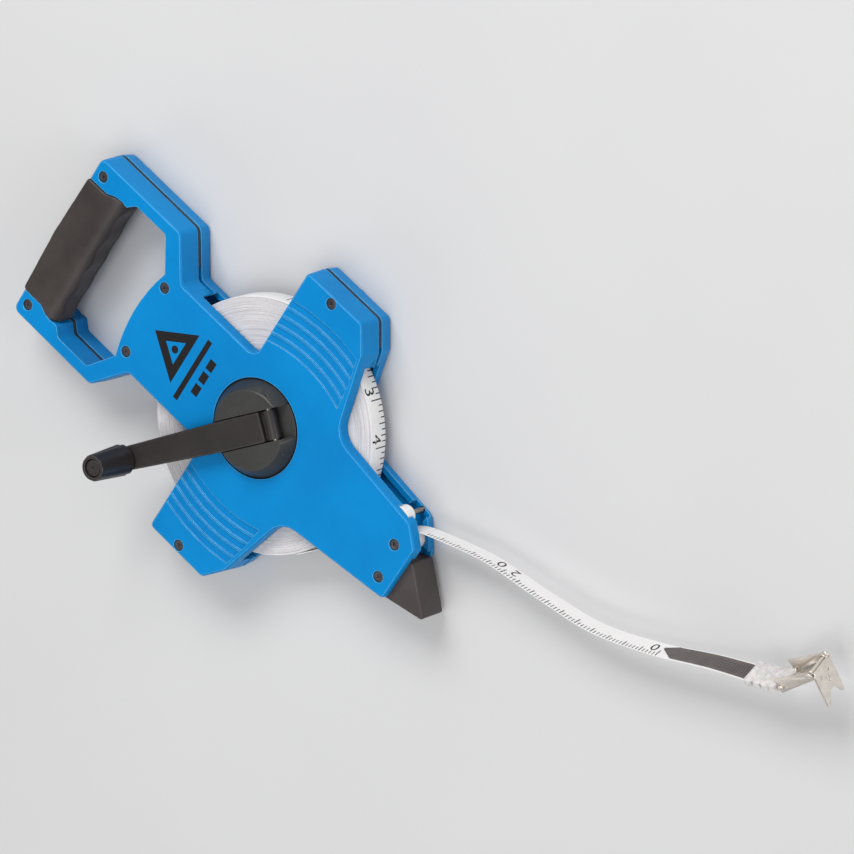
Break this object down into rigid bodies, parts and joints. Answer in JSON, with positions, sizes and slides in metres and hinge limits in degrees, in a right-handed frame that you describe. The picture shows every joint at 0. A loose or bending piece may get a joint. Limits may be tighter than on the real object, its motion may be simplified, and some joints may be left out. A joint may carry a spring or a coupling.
{
  "type": "surveyor tape reel",
  "caption": "Open-frame surveying tape reel: blue cross-shaped frame with rubber hand grip, folding crank, ground foot, wound white tape and free tape end with folding steel claw.",
  "frame": {"origin": "the reel axis on the flat rear face of the rear frame", "axes": "+Z along the reel axis toward the crank, +X from the hand grip toward the tape mouth and foot, +Y across the frame"},
  "size_m": [0.5035, 0.2285, 0.0622],
  "materials": {
    "blue_shell": "satin moulded blue plastic, fine sheen",
    "grip_rubber": "matte soft moulded rubber",
    "dark_plastic": "matte dark moulded plastic",
    "crank_plastic": "satin dark brown-grey plastic",
    "hub_plastic": "satin dark grey plastic",
    "tape": "coated woven glass-fibre tape, white",
    "roller_plastic": "smooth white plastic",
    "sleeve_plastic": "milky translucent moulded plastic",
    "steel": "nickel-plated pressed steel"
  },
  "bodies": {
    "frame": {"front_frame": "blue_shell", "rear_frame": "blue_shell", "handle_spine": "dark_plastic", "tip_spacer_upper": "dark_plastic", "tip_spacer_lower": "dark_plastic", "grip_front": "grip_rubber", "grip_rear": "grip_rubber", "ground_foot": "grip_rubber", "frame_screw_1": "steel", "frame_screw_2": "steel", "frame_screw_3": "steel", "frame_screw_4": "steel", "frame_screw_5": "steel", "frame_screw_6": "steel", "frame_screw_7": "steel", "frame_screw_8": "steel", "axle_screw": "steel", "tape_strand": "tape", "tape_free": "tape", "end_sleeve": "sleeve_plastic"},
    "reel": {"spool_core": "dark_plastic", "tape_winding": "tape", "crank_hub": "hub_plastic", "crank_hinge_pin": "steel"},
    "crank": {"crank_arm": "crank_plastic", "knob_pin": "crank_plastic"},
    "knob": {"crank_knob": "crank_plastic"},
    "guide": {"guide_flange": "roller_plastic", "guide_pin": "steel"},
    "roller": {"guide_roller": "roller_plastic"},
    "clip": {"clip_channel": "steel", "clip_pin": "steel", "claw_rivet": "steel"},
    "claw": {"claw_hook": "steel"}
  },
  "joints": [
    {"name": "reel_spin", "type": "hinge", "parent": "frame", "child": "reel", "pos_m": [0, 0, 0.0137], "axis": [0, 0, 1], "continuous": true},
    {"name": "crank_fold", "type": "hinge", "parent": "reel", "child": "crank", "pos_m": [0.00909, 0.0118, 0.0316], "axis": [-0.7923, 0.6101, 0], "range_deg": [0, 180]},
    {"name": "knob_spin", "type": "hinge", "parent": "crank", "child": "knob", "pos_m": [-0.05247, -0.06814, 0.045], "axis": [0, 0, 1], "continuous": true},
    {"name": "guide_spin", "type": "hinge", "parent": "frame", "child": "guide", "pos_m": [0.095, 0.0213, 0.0137], "axis": [0, 0, 1], "continuous": true},
    {"name": "roller_spin", "type": "hinge", "parent": "frame", "child": "roller", "pos_m": [0.1023, 0.0088, 0.0137], "axis": [0, 0, 1], "continuous": true},
    {"name": "clip_swing", "type": "hinge", "parent": "frame", "child": "clip", "pos_m": [0.3143, 0.11061, 0.0197], "axis": [0.2227, -0.4485, 0.8656], "range_deg": [-40, 30]},
    {"name": "claw_fold", "type": "hinge", "parent": "clip", "child": "claw", "pos_m": [0.32455, 0.13078, 0.02752], "axis": [0.2227, -0.4485, 0.8656], "range_deg": [-3, 80]}
  ]
}
